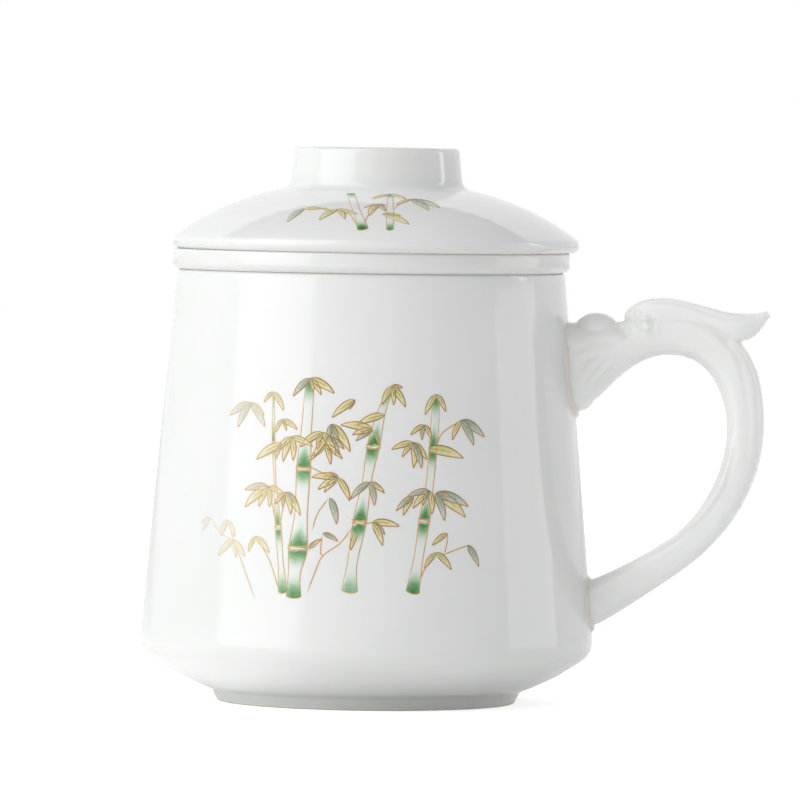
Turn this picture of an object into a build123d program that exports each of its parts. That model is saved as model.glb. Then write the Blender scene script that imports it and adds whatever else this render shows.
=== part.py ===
"""Lidded porcelain tea mug with a porcelain infuser, in millimetres.

The mug stands on the origin, +Z up, with its axis of revolution on Z and its handle along +X.
Each piece is one closed solid in its own STEP file under parts/, in the place where it is used:
the infuser hangs in the mug by its collar, and the lid rests on the collar.
"""

from build123d import *
import math
import os

# Mug: a cone that narrows upwards from a rounded shoulder, on a low foot ring
BODY_HEIGHT = 97.2
MOUTH_RADIUS = 43.7
WALL = 3.2
SHOULDER_RADIUS = 51.3
SHOULDER_HEIGHT = 11.8
SHOULDER_ROUNDING = 5.0
UNDERSIDE_MIDDLE = (42.8, 6.35)
LIP_ROUNDING = 0.9

FOOT_RADIUS = 33.5
FOOT_TOP_RADIUS = 34.8
FOOT_HEIGHT = 2.6
FOOT_WIDTH = 3.8
FOOT_ROUNDING = 0.8
FOOT_RECESS = 2.4

FLOOR_HEIGHT = 6.3
FLOOR_RADIUS = 34.0
FLOOR_ROUNDING = 14.0
INSIDE_SHOULDER_HEIGHT = 13.4
INSIDE_SHOULDER_ROUNDING = 5.5

# Infuser: a tapered cup with a broad collar that lies on the mug's lip
COLLAR_RADIUS = 44.8
COLLAR_HEIGHT = 4.6
COLLAR_LOWER_ROUNDING = 1.8
COLLAR_UPPER_ROUNDING = 0.7
BASKET_TOP_RADIUS = 40.0
BASKET_BOTTOM_RADIUS = 36.4
BASKET_BOTTOM_HEIGHT = 33.0
BASKET_WALL = 2.4
BASKET_ROUNDING = 7.0

FLOOR_HOLE_DIAMETER = 2.6
FLOOR_HOLE_RINGS = 4
FLOOR_HOLE_PITCH = 6.4
SIDE_HOLE_DIAMETER = 2.8
SIDE_HOLES_PER_ROW = 24
SIDE_HOLE_ROWS = (44.5, 51.0, 57.5)

# Lid: a low dome with a skirt that drops inside the infuser. LID_OFFSET is how far it lies
# towards the handle, within the skirt's play in the infuser
LID_OFFSET = 1.0
LID_RADIUS = 45.8
LID_SEAT_ROUNDING = 1.6
LID_EDGE_ROUNDING = 1.7
LID_THICKNESS = 3.2
DOME_CENTRE = (9.7, 57.7)
DOME_RADIUS = 59.0
DOME_FLAT_RADIUS = 15.0
LID_SEAT_INNER_RADIUS = 41.5
LID_GROOVE_HEIGHT = 105.4
SKIRT_RADIUS = 35.8
SKIRT_WALL = 2.8
SKIRT_DEPTH = 6.2
SKIRT_ROUNDING = 1.2

# Knob: an open ring luted on the dome, which is the lid's foot when the lid is turned over
KNOB_HEIGHT = 125.0
KNOB_TOP_RADIUS = 18.5
KNOB_BASE_RADIUS = 19.5
KNOB_BORE_RADIUS = 15.4
KNOB_ROUNDING = 1.2
KNOB_SLIP_REACH = 2.5
KNOB_SLIP_HEIGHT = 2.8
KNOB_SLIP_EDGE = 0.15

# Handle: a dragon's head bites the wall, and its neck arches down to the shoulder
SLIP_THICKNESS = 0.5
SLIP_MARGIN = 0.5
UPPER_ROOT_HEIGHTS = (65.2, 85.6)
UPPER_ROOT_WIDTH = 15.2
LOWER_ROOT_HEIGHTS = (17.2, 28.6)
LOWER_ROOT_WIDTH = 11.2
SECTION_ROUNDNESS = 0.42

# Neck from inside the wall to the lower root: middle of the section, its depth and its width
NECK = (
    ((43.0, 75.2), 20.2, 15.2),
    ((50.7, 78.8), 15.8, 13.8),
    ((56.5, 81.0), 11.2, 12.0),
    ((63.0, 83.3), 9.4, 11.0),
    ((70.0, 83.9), 9.6, 10.6),
    ((77.0, 81.6), 10.0, 10.4),
    ((82.0, 76.0), 9.7, 10.5),
    ((84.6, 67.5), 8.5, 10.7),
    ((84.4, 57.4), 8.1, 10.8),
    ((80.5, 46.6), 7.8, 10.8),
    ((72.6, 36.7), 7.3, 10.8),
    ((62.7, 29.8), 8.0, 10.9),
    ((54.5, 25.0), 9.2, 11.1),
    ((48.0, 22.8), 11.2, 11.2),
)

# Horn from the brow back to the tip, in the same way
HORN = (
    ((58.2, 86.2), 2.6, 5.0),
    ((60.3, 87.7), 5.6, 9.6),
    ((63.7, 88.6), 6.6, 11.0),
    ((68.4, 89.2), 5.3, 11.2),
    ((73.6, 88.5), 4.5, 10.8),
    ((79.0, 86.7), 5.4, 10.2),
    ((83.9, 85.7), 6.2, 8.8),
    ((87.0, 86.9), 4.2, 6.0),
    ((89.8, 88.7), 1.8, 2.4),
)

# Nose, chin and eyes: middle and half sizes along X, Y and Z
NOSE = ((51.1, 0, 84.3), (5.2, 4.9, 4.2))
CHIN = ((47.3, 0, 70.0), (3.6, 6.4, 3.8))
EYES = [((62.2, side * 4.6, 86.4), (2.2, 2.2, 2.2)) for side in (-1, 1)]


def wall_radius(height):
    """The mug's outer radius on its cone, at a height above the table."""
    share = (height - SHOULDER_HEIGHT) / (BODY_HEIGHT - SHOULDER_HEIGHT)
    return SHOULDER_RADIUS + share * (MOUTH_RADIUS - SHOULDER_RADIUS)


def dome_height(radius, depth=0.0):
    """The height of the dome at a radius, or of the surface that lies a depth inside it."""
    across = radius - DOME_CENTRE[0]
    return DOME_CENTRE[1] + math.sqrt((DOME_RADIUS - depth) ** 2 - across**2)


def dome_arc(start, end, depth=0.0):
    """The dome's line between two radii, drawn as radius and height."""
    radii = (start, (start + end) / 2, end)
    return ThreePointArc(*((radius, dome_height(radius, depth)) for radius in radii))


def rounded(face, roundings):
    """The face with corners rounded: each entry is a corner's point and its radius."""
    for point, radius in roundings:
        corner = face.vertices().sort_by_distance((*point, 0))[0]
        face = fillet(corner, radius)
    return face


def spin(edges, roundings=()):
    """The solid of revolution of a closed half section, drawn as radius and height."""
    section = rounded(make_face(Sketch() + edges), roundings)
    return revolve(Plane.XZ * section, Axis.Z).solid()


def mug_body():
    """The vessel: foot ring, underside, rounded shoulder, cone wall and lip in one clay body."""
    foot_inner = FOOT_RADIUS - FOOT_WIDTH
    crease = (FOOT_TOP_RADIUS, FOOT_HEIGHT)
    shoulder = (SHOULDER_RADIUS, SHOULDER_HEIGHT)
    lip_outer = (MOUTH_RADIUS, BODY_HEIGHT)
    lip_inner = (MOUTH_RADIUS - WALL, BODY_HEIGHT)
    inside_radius = wall_radius(INSIDE_SHOULDER_HEIGHT) - WALL
    inside_shoulder = (inside_radius, INSIDE_SHOULDER_HEIGHT)
    floor_edge = (FLOOR_RADIUS, FLOOR_HEIGHT)
    foot = [(0, FOOT_RECESS), (foot_inner, FOOT_RECESS), (foot_inner, 0)]
    edges = [
        Polyline(*foot, (FOOT_RADIUS, 0), crease),
        ThreePointArc(crease, UNDERSIDE_MIDDLE, shoulder),
        Polyline(shoulder, lip_outer, lip_inner, inside_shoulder, floor_edge),
        Polyline(floor_edge, (0, FLOOR_HEIGHT), (0, FOOT_RECESS)),
    ]
    roundings = (
        (shoulder, SHOULDER_ROUNDING),
        (inside_shoulder, INSIDE_SHOULDER_ROUNDING),
        (floor_edge, FLOOR_ROUNDING),
        ((FOOT_RADIUS, 0), FOOT_ROUNDING),
        ((foot_inner, 0), FOOT_ROUNDING / 2),
        (lip_outer, LIP_ROUNDING),
        (lip_inner, LIP_ROUNDING),
    )
    return spin(edges, roundings)


def basket_radius(height):
    """The infuser's outer radius on its tapered wall."""
    share = (height - BASKET_BOTTOM_HEIGHT) / (BODY_HEIGHT - BASKET_BOTTOM_HEIGHT)
    return BASKET_BOTTOM_RADIUS + share * (BASKET_TOP_RADIUS - BASKET_BOTTOM_RADIUS)


def floor_drills():
    """Drills through the infuser's floor: one in the middle and rings around it."""
    drill = Cylinder(FLOOR_HOLE_DIAMETER / 2, 4 * BASKET_WALL)
    drills = [Pos(0, 0, BASKET_BOTTOM_HEIGHT) * drill]
    for ring in range(1, FLOOR_HOLE_RINGS + 1):
        place = Pos(ring * FLOOR_HOLE_PITCH, 0, BASKET_BOTTOM_HEIGHT)
        turns = [Rot(0, 0, 360 * k / (6 * ring)) for k in range(6 * ring)]
        drills += [turn * place * drill for turn in turns]
    return drills


def side_drills():
    """Drills through the infuser's lower wall, in rows that are staggered by half a pitch."""
    drill = Rot(0, 90, 0) * Cylinder(SIDE_HOLE_DIAMETER / 2, 4 * BASKET_WALL)
    pitch = 360 / SIDE_HOLES_PER_ROW
    drills = []
    for row, height in enumerate(SIDE_HOLE_ROWS):
        place = Pos(basket_radius(height), 0, height)
        turns = [Rot(0, 0, pitch * (k + row / 2)) for k in range(SIDE_HOLES_PER_ROW)]
        drills += [turn * place * drill for turn in turns]
    return drills


def infuser():
    """The strainer cup, cast with its collar and then pierced."""
    collar_top = BODY_HEIGHT + COLLAR_HEIGHT
    floor = BASKET_BOTTOM_HEIGHT + BASKET_WALL
    bottom = (BASKET_BOTTOM_RADIUS, BASKET_BOTTOM_HEIGHT)
    inside_bottom = (BASKET_BOTTOM_RADIUS - BASKET_WALL, floor)
    inside_top = (BASKET_TOP_RADIUS - BASKET_WALL, collar_top)
    collar_lower = (COLLAR_RADIUS, BODY_HEIGHT)
    collar_upper = (COLLAR_RADIUS, collar_top)
    outside = [(0, BASKET_BOTTOM_HEIGHT), bottom, (BASKET_TOP_RADIUS, BODY_HEIGHT)]
    inside = [inside_top, inside_bottom, (0, floor), (0, BASKET_BOTTOM_HEIGHT)]
    roundings = (
        (bottom, BASKET_ROUNDING),
        (inside_bottom, BASKET_ROUNDING - BASKET_WALL),
        (collar_lower, COLLAR_LOWER_ROUNDING),
        (collar_upper, COLLAR_UPPER_ROUNDING),
        (inside_top, COLLAR_UPPER_ROUNDING),
    )
    cup = spin([Polyline(*outside, collar_lower, collar_upper, *inside)], roundings)
    return (cup - floor_drills() - side_drills()).solid()


def lid():
    """The dome with its rounded edge, seating land, groove and skirt."""
    seat = BODY_HEIGHT + COLLAR_HEIGHT
    skirt_inner = SKIRT_RADIUS - SKIRT_WALL
    skirt_bottom = seat - SKIRT_DEPTH
    top = dome_height(DOME_FLAT_RADIUS)
    ceiling = dome_height(DOME_FLAT_RADIUS, LID_THICKNESS)
    edge = (LID_RADIUS, dome_height(LID_RADIUS))
    skirt_root = (skirt_inner, dome_height(skirt_inner, LID_THICKNESS))
    groove = (SKIRT_RADIUS, LID_GROOVE_HEIGHT)
    rim = [edge, (LID_RADIUS, seat), (LID_SEAT_INNER_RADIUS, seat), groove]
    skirt = [(SKIRT_RADIUS, skirt_bottom), (skirt_inner, skirt_bottom), skirt_root]
    middle = [(DOME_FLAT_RADIUS, ceiling), (0, ceiling), (0, top)]
    edges = [
        dome_arc(DOME_FLAT_RADIUS, LID_RADIUS),
        Polyline(*rim, *skirt),
        dome_arc(skirt_inner, DOME_FLAT_RADIUS, LID_THICKNESS),
        Polyline(*middle, (DOME_FLAT_RADIUS, top)),
    ]
    roundings = (
        (edge, LID_EDGE_ROUNDING),
        ((LID_RADIUS, seat), LID_SEAT_ROUNDING),
        (groove, SKIRT_ROUNDING),
        ((SKIRT_RADIUS, skirt_bottom), SKIRT_ROUNDING),
        ((skirt_inner, skirt_bottom), SKIRT_ROUNDING),
        (skirt_root, SKIRT_ROUNDING),
    )
    return spin(edges, roundings)


def knob_ring():
    """The open ring that stands on the dome."""
    bore_top = (KNOB_BORE_RADIUS, KNOB_HEIGHT)
    wall_top = (KNOB_TOP_RADIUS, KNOB_HEIGHT)
    bore_base = (KNOB_BORE_RADIUS, dome_height(KNOB_BORE_RADIUS))
    wall_base = (KNOB_BASE_RADIUS, dome_height(KNOB_BASE_RADIUS))
    edges = [
        Polyline(bore_base, bore_top, wall_top, wall_base),
        dome_arc(KNOB_BASE_RADIUS, KNOB_BORE_RADIUS),
    ]
    return spin(edges, ((wall_top, KNOB_ROUNDING), (bore_top, KNOB_ROUNDING / 2)))


def knob_slip():
    """The bead of slip, wiped hollow, in the corner between the knob and the dome."""
    base = dome_height(KNOB_BASE_RADIUS)
    share = KNOB_SLIP_HEIGHT / (KNOB_HEIGHT - base)
    lean = share * (KNOB_BASE_RADIUS - KNOB_TOP_RADIUS)
    top = (KNOB_BASE_RADIUS - lean, base + KNOB_SLIP_HEIGHT)
    top_edge = (top[0] + KNOB_SLIP_EDGE, top[1])
    foot_radius = KNOB_BASE_RADIUS + KNOB_SLIP_REACH
    foot = (foot_radius, dome_height(foot_radius))
    foot_edge = (foot_radius, foot[1] + KNOB_SLIP_EDGE)
    hollow = ((2 * top_edge[0] + foot[0]) / 3, (top[1] + 2 * foot_edge[1]) / 3)
    edges = [
        Polyline((KNOB_BASE_RADIUS, base), top, top_edge),
        ThreePointArc(top_edge, hollow, foot_edge),
        Line(foot_edge, foot),
        dome_arc(foot_radius, KNOB_BASE_RADIUS),
    ]
    return spin(edges)


def wall_cone(offset):
    """A solid cone whose side lies an offset outside the mug's wall."""
    low, high = SHOULDER_HEIGHT, BODY_HEIGHT
    edges = Polyline(
        (0, low),
        (wall_radius(low) + offset, low),
        (wall_radius(high) + offset, high),
        (0, high),
        close=True,
    )
    return spin([edges])


def handle_slip(heights, width):
    """A pad of slip between the mug's wall and one root of the handle."""
    low, high = heights
    tall = high - low + 2 * SLIP_MARGIN
    broad = width + 2 * SLIP_MARGIN
    place = Plane(origin=(0, 0, (low + high) / 2), x_dir=(0, 1, 0), z_dir=(1, 0, 0))
    corner = SECTION_ROUNDNESS * min(broad, tall)
    block = extrude(place * RectangleRounded(broad, tall, corner), 2 * MOUTH_RADIUS)
    return (block & wall_cone(SLIP_THICKNESS) - wall_cone(0)).solid()


def limb(rows):
    """A smooth body through rounded sections, each square to the line between its neighbours."""
    middles = [middle for middle, _, _ in rows]
    befores = [middles[0], *middles[:-1]]
    afters = [*middles[1:], middles[-1]]
    sections = []
    for ((x, z), depth, width), before, after in zip(rows, befores, afters):
        along = Vector(after[0] - before[0], 0, after[1] - before[1])
        place = Plane(origin=(x, 0, z), x_dir=(0, 1, 0), z_dir=along)
        corner = SECTION_ROUNDNESS * min(depth, width)
        sections.append(place * RectangleRounded(width, depth, corner))
    return loft(sections)


def boss(middle, half_sizes):
    """An egg-shaped swelling."""
    return Pos(*middle) * scale(Sphere(1), by=half_sizes)


def handle():
    """The dragon: arched neck, swept-back horn and face, cut to fit over the slip."""
    face = [boss(*place) for place in (NOSE, CHIN, *EYES)]
    dragon = limb(NECK) + limb(HORN) + face
    return (dragon - wall_cone(SLIP_THICKNESS)).solid()


def main():
    os.makedirs("parts", exist_ok=True)
    pieces = {
        "mug_body": mug_body(),
        "handle": handle(),
        "upper_handle_slip": handle_slip(UPPER_ROOT_HEIGHTS, UPPER_ROOT_WIDTH),
        "lower_handle_slip": handle_slip(LOWER_ROOT_HEIGHTS, LOWER_ROOT_WIDTH),
        "infuser": infuser(),
        "lid": Pos(LID_OFFSET, 0, 0) * lid(),
        "knob_ring": Pos(LID_OFFSET, 0, 0) * knob_ring(),
        "knob_slip": Pos(LID_OFFSET, 0, 0) * knob_slip(),
    }
    for name, solid in pieces.items():
        export_step(solid, f"parts/{name}.step")


main()
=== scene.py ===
"""A lidded porcelain tea mug with its infuser: glazed body, dragon handle and enamel bamboo.

Each piece is worked out in millimetres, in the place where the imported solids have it, and goes
into Blender in metres. The sections follow the mug as it is put together: body, handle and its
slip, infuser, lid, knob, the painting, and last the table, the lamps and the camera.
"""

import bmesh
import bpy
import numpy as np
from mathutils import Matrix, Vector


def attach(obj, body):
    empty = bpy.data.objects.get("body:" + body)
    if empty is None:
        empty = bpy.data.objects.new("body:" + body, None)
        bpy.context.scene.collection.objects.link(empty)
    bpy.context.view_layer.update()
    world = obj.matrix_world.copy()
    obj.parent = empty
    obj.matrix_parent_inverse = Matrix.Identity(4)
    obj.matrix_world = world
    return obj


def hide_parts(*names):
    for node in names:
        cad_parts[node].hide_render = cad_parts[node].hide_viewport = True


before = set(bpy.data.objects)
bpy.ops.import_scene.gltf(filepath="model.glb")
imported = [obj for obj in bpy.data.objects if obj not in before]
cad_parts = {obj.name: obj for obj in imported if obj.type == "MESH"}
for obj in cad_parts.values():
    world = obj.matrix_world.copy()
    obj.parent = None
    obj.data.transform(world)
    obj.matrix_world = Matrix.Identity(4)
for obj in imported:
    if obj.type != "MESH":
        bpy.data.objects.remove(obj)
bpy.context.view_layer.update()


# ---------------------------------------------------------------------------------------------
# Mug body. The vessel is slip-cast porcelain, turned true: a cone that narrows upwards from a
# rounded shoulder on a low foot ring. It is dipped in clear glaze, and its foot is wiped bare.
# ---------------------------------------------------------------------------------------------

MM = 0.001
MUG_HEIGHT = 97.2
MOUTH_RADIUS = 43.7
WALL = 3.2
SHOULDER_RADIUS = 51.3
SHOULDER_HEIGHT = 11.8
MUG_TURNS = 256

# The foot is wiped up to its glaze line. Glaze pools about the crease over the foot, which lies
# at this radius and height, and thins out over the width of the pool.
FOOT_GLAZE_LINE = 0.75
FOOT_CREASE = (34.8, 2.6)
CREASE_POOL = 2.2

# Points of one mesh that lie this close together are merged
MERGE_DISTANCE = 0.0005 * MM

GLAZE_WHITE = "#E9EAE9"
GLAZE_POOLED = "#E0E3E1"
BARE_CLAY = "#F2EDE4"
IRON_SPECK = "#A08A6C"
GLAZE_ROUGHNESS = 0.06
BARE_ROUGHNESS = 0.78
GLASS_IOR = 1.5

# Sizes in the glaze and the clay, in metres: how wide the drifts of colour, the waves, the
# ragged edge of a wiped patch and the grain of bare clay are, how high a wave is, and how deep
# light goes in, with the shares of that which red, green and blue reach. Real grain is finer:
# it is drawn just coarse enough to show, and this many times as high as the waves.
GLAZE_DRIFT = 28 * MM
GLAZE_WAVES = 4 * MM
WIPED_EDGE = 1.5 * MM
CLAY_GRAIN = 0.25 * MM
WAVE_HEIGHT = 0.004 * MM
LIGHT_DEPTH = 1.2 * MM
LIGHT_SHARES = (1.0, 0.9, 0.8)
GRAIN_TO_WAVES = 4.0

# The glaze begins to turn to its pooled colour, and has turned, where noise plus the attribute
# "pool" is one of these. Clay begins to show, and is bare, where the attribute "bare" plus noise
# times the raggedness is one of those.
POOLED_RANGE = (0.4, 1.4)
WIPED_RANGE = (0.28, 0.36)
RAGGEDNESS = 0.3

# Iron specks: how far apart their places are, the share of the places that have one, where a
# speck's soft edge starts and ends as shares of the spacing, and how much of the glaze it hides
SPECK_SPACING = 9 * MM
SPECKED_SHARE = 0.2
SPECK_EDGE = (0.022, 0.010)
SPECK_STRENGTH = 0.35

# The half section, as (radius, height, rounding), from the middle of the foot's recess round to
# the middle of the floor inside
MUG_SECTION = (
    (0.0, 2.4, 0.0),
    (29.7, 2.4, 0.6),
    (29.7, 0.0, 0.4),
    (33.5, 0.0, 0.8),
    (*FOOT_CREASE, 0.7),
    (43.65, 6.12, 46.0),
    (SHOULDER_RADIUS, SHOULDER_HEIGHT, 5.0),
    (MOUTH_RADIUS, MUG_HEIGHT, 0.95),
    (MOUTH_RADIUS - WALL, MUG_HEIGHT, 0.95),
    (47.96, 13.4, 5.5),
    (34.0, 6.3, 14.0),
    (0.0, 6.3, 0.0),
)


def linear(hex_colour):
    """An sRGB hex colour as linear light: below 0.04045 a twelfth, above it a power of 2.4."""
    shares = np.array([int(hex_colour[k:k + 2], 16) for k in (1, 3, 5)]) / 255
    light = np.where(shares < 0.04045, shares / 12.92, ((shares + 0.055) / 1.055) ** 2.4)
    return (*light, 1.0)


def add(tree, kind, inputs=(), **settings):
    """A new shader node. Each input is a value, another node's socket, or another node, which
    stands for its first output. The rest are settings."""
    node = tree.nodes.new("ShaderNode" + kind)
    for name, setting in settings.items():
        setattr(node, name, setting)
    for name, value in dict(inputs).items():
        if isinstance(value, bpy.types.Node):
            value = value.outputs[0]
        if isinstance(value, bpy.types.NodeSocket):
            tree.links.new(value, node.inputs[name])
        else:
            node.inputs[name].default_value = value
    return node


def new_material(name):
    """A material without nodes, and its node tree."""
    material = bpy.data.materials.new(name)
    material.use_nodes = True
    material.node_tree.nodes.clear()
    return material, material.node_tree


def glazed_porcelain(name, clay, pooled, translucency=0.15):
    """Clear gloss glaze over white porcelain, as a kiln leaves it.

    The glaze is a little cooler where it runs thick, and has faint waves and a rare iron speck.
    Where the attribute "bare" is above 0 mm the clay is wiped: matt, grainy and warmer.
    """
    material, tree = new_material(name)
    place = add(tree, "TexCoord").outputs["Object"]
    drift = add(tree, "TexNoise", {"Vector": place, "Scale": 1 / GLAZE_DRIFT})
    pool = add(tree, "Attribute", attribute_name="pool")
    thick = add(tree, "Math", {0: drift, 1: pool.outputs["Fac"]}, operation="ADD")
    share = add(tree, "MapRange", {"Value": thick, "From Min": POOLED_RANGE[0],
                                   "From Max": POOLED_RANGE[1]})
    glaze = add(tree, "Mix", {0: share, 6: linear(clay), 7: linear(pooled)}, data_type="RGBA")
    cell = add(tree, "TexVoronoi", {"Vector": place, "Scale": 1 / SPECK_SPACING})
    speck = add(tree, "MapRange", {"Value": cell, "From Min": SPECK_EDGE[0],
                                   "From Max": SPECK_EDGE[1], "To Max": SPECK_STRENGTH})
    rare = add(tree, "Math", {0: cell.outputs["Color"], 1: 1 - SPECKED_SHARE},
               operation="GREATER_THAN")
    iron = add(tree, "Math", {0: speck, 1: rare}, operation="MULTIPLY")
    specked = add(tree, "Mix", {0: iron, 6: glaze.outputs[2], 7: linear(IRON_SPECK)},
                  data_type="RGBA")
    wiped = add(tree, "Attribute", attribute_name="bare")
    ragged = add(tree, "TexNoise", {"Vector": place, "Scale": 1 / WIPED_EDGE})
    edge = add(tree, "Math", {0: ragged, 1: RAGGEDNESS, 2: wiped.outputs["Fac"]},
               operation="MULTIPLY_ADD")
    bare = add(tree, "MapRange", {"Value": edge, "From Min": WIPED_RANGE[0],
                                  "From Max": WIPED_RANGE[1]})
    colour = add(tree, "Mix", {0: bare, 6: specked.outputs[2], 7: linear(BARE_CLAY)},
                 data_type="RGBA")
    roughness = add(tree, "MapRange",
                    {"Value": bare, "To Min": GLAZE_ROUGHNESS, "To Max": BARE_ROUGHNESS})
    waves = add(tree, "TexNoise", {"Vector": place, "Scale": 1 / GLAZE_WAVES, "Detail": 1})
    grain = add(tree, "TexNoise", {"Vector": place, "Scale": 1 / CLAY_GRAIN})
    rough_grain = add(tree, "Math", {0: grain, 1: bare}, operation="MULTIPLY")
    height = add(tree, "Math", {0: rough_grain, 1: GRAIN_TO_WAVES, 2: waves},
                 operation="MULTIPLY_ADD")
    relief = add(tree, "Bump", {"Height": height, "Distance": WAVE_HEIGHT})
    shader = add(tree, "BsdfPrincipled", {
        "Base Color": colour.outputs[2],
        "Roughness": roughness,
        "IOR": GLASS_IOR,
        "Subsurface Weight": translucency,
        "Subsurface Radius": LIGHT_SHARES,
        "Subsurface Scale": LIGHT_DEPTH,
        "Normal": relief,
    })
    add(tree, "OutputMaterial", {"Surface": shader})
    return material


def rounded_line(corners, step=2.5, bend=9.0):
    """Points along the line through corners (x, y, rounding), each corner cut by an arc.

    An arc of radius r at a corner that turns by an angle t starts r tan(t / 2) before it, and
    goes r sin(a) along the old direction and r (1 - cos(a)) across it as a goes from 0 to t.
    Runs are cut into steps, and arcs at every few degrees of bend.
    """
    places = np.array([corner[:2] for corner in corners], float)
    pieces = [places[:1]]
    for before, here, after, (_, _, radius) in zip(places, places[1:], places[2:], corners[1:]):
        along = (here - before) / np.linalg.norm(here - before)
        onward = (after - here) / np.linalg.norm(after - here)
        turn = np.arccos(np.clip(along @ onward, -1, 1))
        across = onward - (along @ onward) * along
        across = across / np.linalg.norm(across)
        angles = np.linspace(0, turn, max(3, int(np.degrees(turn) / bend) + 2))[:, None]
        start = here - along * radius * np.tan(turn / 2)
        pieces.append(start + radius * (np.sin(angles) * along + (1 - np.cos(angles)) * across))
    pieces.append(places[-1:])
    line = [pieces[0]]
    for last, following in zip(pieces, pieces[1:]):
        run = np.linalg.norm(following[0] - last[-1])
        shares = np.linspace(0, 1, max(2, int(run / step) + 2))[1:-1, None]
        line += [last[-1] + shares * (following[0] - last[-1]), following]
    return np.concatenate(line)


def round_axis(radius, angle, height):
    """Places round the Z axis: x = r cos a, y = r sin a, z = h."""
    places = np.broadcast_arrays(radius * np.cos(angle), radius * np.sin(angle), height)
    return np.stack(places, -1)


def spun(line, turns):
    """The grid (line point, turn) of a half section (radius, height) carried round the axis."""
    angles = np.linspace(0, 2 * np.pi, turns, endpoint=False)
    return round_axis(line[:, 0, None], angles, line[:, 1, None])


def quads(copies, rows, columns, wrapped):
    """Corner numbers of the quads of a number of grids. Wrapped joins the last column to the
    first one."""
    row = np.arange(rows - 1)[None, :, None]
    column = np.arange(columns if wrapped else columns - 1)[None, None, :]
    first = np.arange(copies)[:, None, None] * rows * columns
    beside = (column + 1) % columns
    corners = (row * columns + column, row * columns + beside,
               (row + 1) * columns + beside, (row + 1) * columns + column)
    return np.stack([first + corner for corner in corners], -1).reshape(-1, 4)


def make_piece(name, grids, material, body, wrapped=True, sheet=0.0, **attributes):
    """A mesh from grids of points (..., row, column, xyz) in millimetres, on a CAD body.

    Points that meet are merged, which closes the seams and poles, and faces are turned outwards.
    A sheet keeps its faces as they are, and gets its thickness behind them. Attributes are one
    number for each point.
    """
    faces = []
    first = 0
    for grid in grids:
        rows, columns = grid.shape[-3:-1]
        copies = int(np.prod(grid.shape[:-3]))
        faces.append(first + quads(copies, rows, columns, wrapped))
        first += copies * rows * columns
    points = np.concatenate([grid.reshape(-1, 3) for grid in grids]) * MM
    faces = np.concatenate(faces)
    mesh = bpy.data.meshes.new(name)
    mesh.vertices.add(len(points))
    mesh.vertices.foreach_set("co", points.ravel())
    mesh.loops.add(faces.size)
    mesh.loops.foreach_set("vertex_index", faces.ravel())
    mesh.polygons.add(len(faces))
    mesh.polygons.foreach_set("loop_start", np.arange(0, faces.size, 4))
    mesh.update(calc_edges=True)
    for key, values in attributes.items():
        values = np.concatenate([np.ravel(part) for part in values])
        mesh.attributes.new(key, "FLOAT", "POINT").data.foreach_set("value", values)
    shape = bmesh.new()
    shape.from_mesh(mesh)
    bmesh.ops.remove_doubles(shape, verts=shape.verts, dist=MERGE_DISTANCE)
    if not sheet:
        bmesh.ops.recalc_face_normals(shape, faces=shape.faces)
    shape.to_mesh(mesh)
    shape.free()
    piece = finished(name, mesh, material, body)
    if sheet:
        solid = piece.modifiers.new("thickness", "SOLIDIFY")
        solid.thickness = sheet * MM
    return piece


def new_object(name, data):
    """An object in the scene, for a mesh, a lamp or a camera."""
    holder = bpy.data.objects.new(name, data)
    bpy.context.scene.collection.objects.link(holder)
    return holder


def finished(name, mesh, material, body):
    """The piece of a finished mesh: smooth, in its material, on its CAD body."""
    mesh.polygons.foreach_set("use_smooth", np.ones(len(mesh.polygons), bool))
    mesh.materials.clear()
    mesh.materials.append(material)
    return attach(new_object(name, mesh), body)


mug_glaze = glazed_porcelain("clear_glaze_on_cast_porcelain", GLAZE_WHITE, GLAZE_POOLED)
mug_grid = spun(rounded_line(MUG_SECTION), MUG_TURNS)
mug_radii = np.hypot(mug_grid[..., 0], mug_grid[..., 1])
crease_distance = np.hypot(mug_radii - FOOT_CREASE[0], mug_grid[..., 2] - FOOT_CREASE[1])
mug = make_piece("glazed_mug_body", [mug_grid], mug_glaze, "mug",
                 bare=[FOOT_GLAZE_LINE - mug_grid[..., 2]],
                 pool=[np.exp(-(crease_distance / CREASE_POOL) ** 2)])
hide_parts("mug_body")


# ---------------------------------------------------------------------------------------------
# Dragon handle. It is cast in a two-part mould: an arched neck, a horn swept back from the brow
# and a face that bites the wall. Its modelling is shallow and softened by the glaze.
# ---------------------------------------------------------------------------------------------

# The size of the even quads, how many passes soften the handle and then its modelling, and how
# far a pass moves a point towards its neighbours, and then away again
HANDLE_VOXEL = 0.32
HANDLE_SMOOTHING = 17
RELIEF_SMOOTHING = 3
EASE_IN = 0.5
EASE_OUT = -0.52

# The modelling is on the handle's two sides. It grows from nothing to its full height as the
# sideways part of the surface's normal goes from one of these to the other.
SIDE_FACING = (0.15, 0.60)

# Its roots are sunk into the wall by this, all of it up to the first of these distances from
# the wall, and none past the second
ROOT_DEPTH = 0.9
ROOT_REACH = (0.5, 1.6)

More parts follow.
